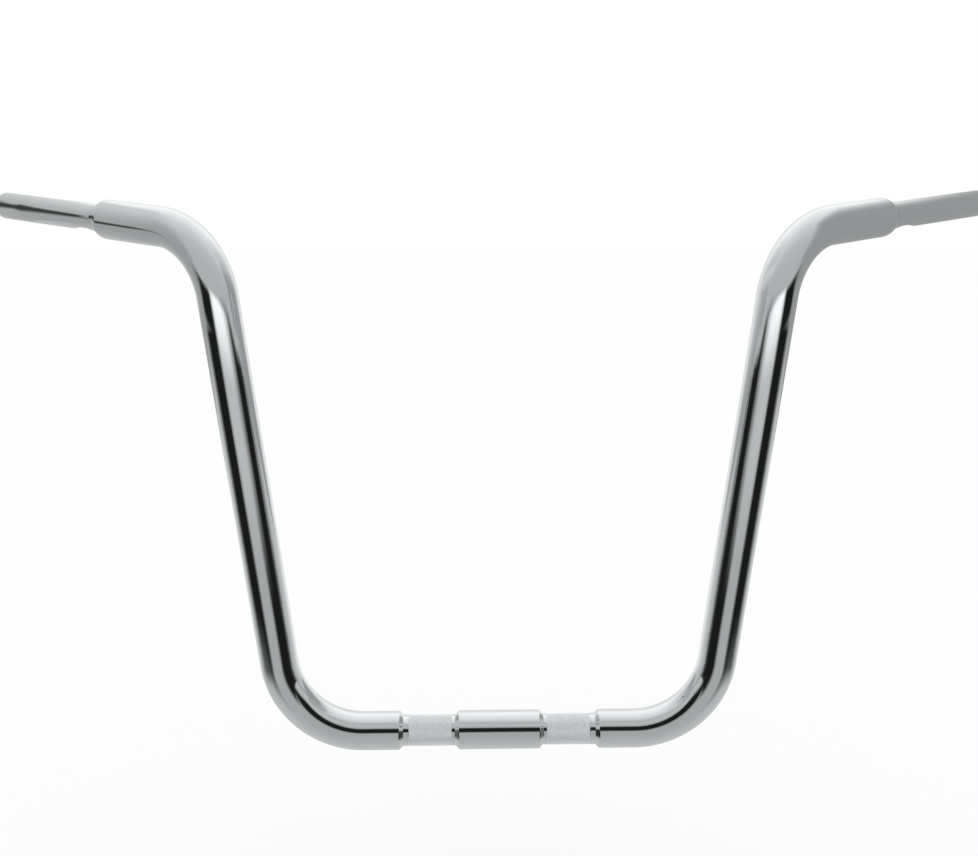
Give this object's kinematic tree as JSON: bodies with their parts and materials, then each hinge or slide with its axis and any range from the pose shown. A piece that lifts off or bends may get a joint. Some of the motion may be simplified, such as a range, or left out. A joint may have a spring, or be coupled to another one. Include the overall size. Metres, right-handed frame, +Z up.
{
  "type": "ape hanger handlebar",
  "caption": "Tall chromed tube handlebar: knurled clamp bands at the base, leaning uprights, bends back to narrower grip ends with a wiring dimple.",
  "frame": {"origin": "middle of the clamped base section, on the tube's axis, halfway between the two riser clamps", "axes": "+X along the clamped section to the bar's right-hand half in the front view, +Y to the rider, +Z up along the uprights"},
  "size_m": [0.8536, 0.1448, 0.4585],
  "materials": {
    "chrome_plate": "polished plate, with a fine matt knurl on the two clamp bands"
  },
  "bodies": {
    "root": {"handlebar": "chrome_plate"}
  },
  "joints": []
}
